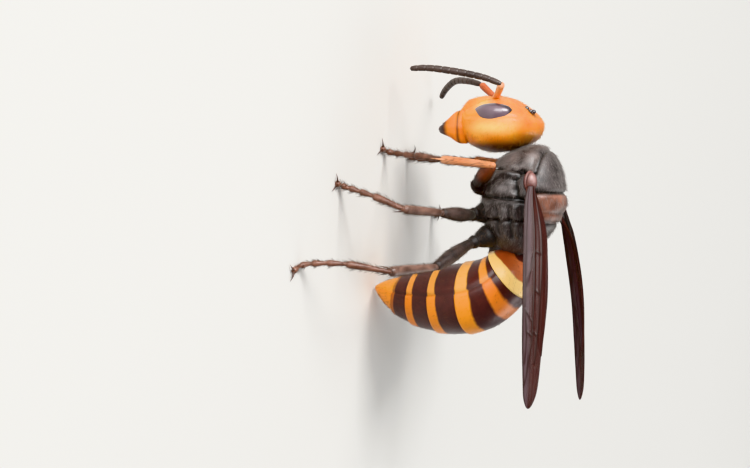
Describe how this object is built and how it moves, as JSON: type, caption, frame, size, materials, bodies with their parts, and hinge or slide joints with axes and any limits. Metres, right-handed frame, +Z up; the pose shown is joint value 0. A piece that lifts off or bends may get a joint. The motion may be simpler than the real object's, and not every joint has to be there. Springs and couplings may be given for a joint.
{
  "type": "asian giant hornet",
  "caption": "Life-size still model of an asian giant hornet worker, standing with its abdomen curled down, wings folded back and legs spread.",
  "frame": {"origin": "on the floor under the middle of the insect's box", "axes": "-Y towards the head, +X to the insect's left, +Z up"},
  "size_m": [0.0466, 0.0334, 0.0234],
  "materials": {
    "head_cuticle": "satin orange-yellow cuticle with fine pits",
    "compound_eye": "glossy dark brown with fine facets",
    "mandible_cuticle": "glossy orange with dark brown teeth",
    "scape_cuticle": "satin orange-brown cuticle",
    "flagellum_cuticle": "dull dark brown cuticle",
    "thorax_cuticle": "black-brown cuticle under short grey hair",
    "gaster_cuticle": "satin dark brown cuticle with orange and yellow bands",
    "tegula_cuticle": "glossy reddish-brown cuticle",
    "wing_membrane": "smoky reddish-brown film with darker veins",
    "foreleg_cuticle": "satin orange-brown cuticle",
    "leg_cuticle": "satin dark brown cuticle",
    "tarsus_cuticle": "brown cuticle with short hair"
  },
  "bodies": {
    "root": {"head": "head_cuticle", "eye_left": "compound_eye", "eye_right": "compound_eye", "mandible_left": "mandible_cuticle", "mandible_right": "mandible_cuticle", "scape_left": "scape_cuticle", "scape_right": "scape_cuticle", "flagellum_left": "flagellum_cuticle", "flagellum_right": "flagellum_cuticle", "pronotum": "thorax_cuticle", "mesothorax": "thorax_cuticle", "scutellum": "thorax_cuticle", "propodeum": "thorax_cuticle", "gaster_1": "gaster_cuticle", "gaster_2": "gaster_cuticle", "gaster_3": "gaster_cuticle", "gaster_4": "gaster_cuticle", "gaster_5": "gaster_cuticle", "gaster_6": "gaster_cuticle", "tegula_left": "tegula_cuticle", "tegula_right": "tegula_cuticle", "forewing_left": "wing_membrane", "forewing_right": "wing_membrane", "hindwing_left": "wing_membrane", "hindwing_right": "wing_membrane", "foreleg_left_femur": "foreleg_cuticle", "foreleg_left_tibia": "foreleg_cuticle", "foreleg_left_tarsus": "tarsus_cuticle", "foreleg_right_femur": "foreleg_cuticle", "foreleg_right_tibia": "foreleg_cuticle", "foreleg_right_tarsus": "tarsus_cuticle", "midleg_left_femur": "leg_cuticle", "midleg_left_tibia": "leg_cuticle", "midleg_left_tarsus": "tarsus_cuticle", "midleg_right_femur": "leg_cuticle", "midleg_right_tibia": "leg_cuticle", "midleg_right_tarsus": "tarsus_cuticle", "hindleg_left_femur": "leg_cuticle", "hindleg_left_tibia": "leg_cuticle", "hindleg_left_tarsus": "tarsus_cuticle", "hindleg_right_femur": "leg_cuticle", "hindleg_right_tibia": "leg_cuticle", "hindleg_right_tarsus": "tarsus_cuticle"}
  },
  "joints": []
}
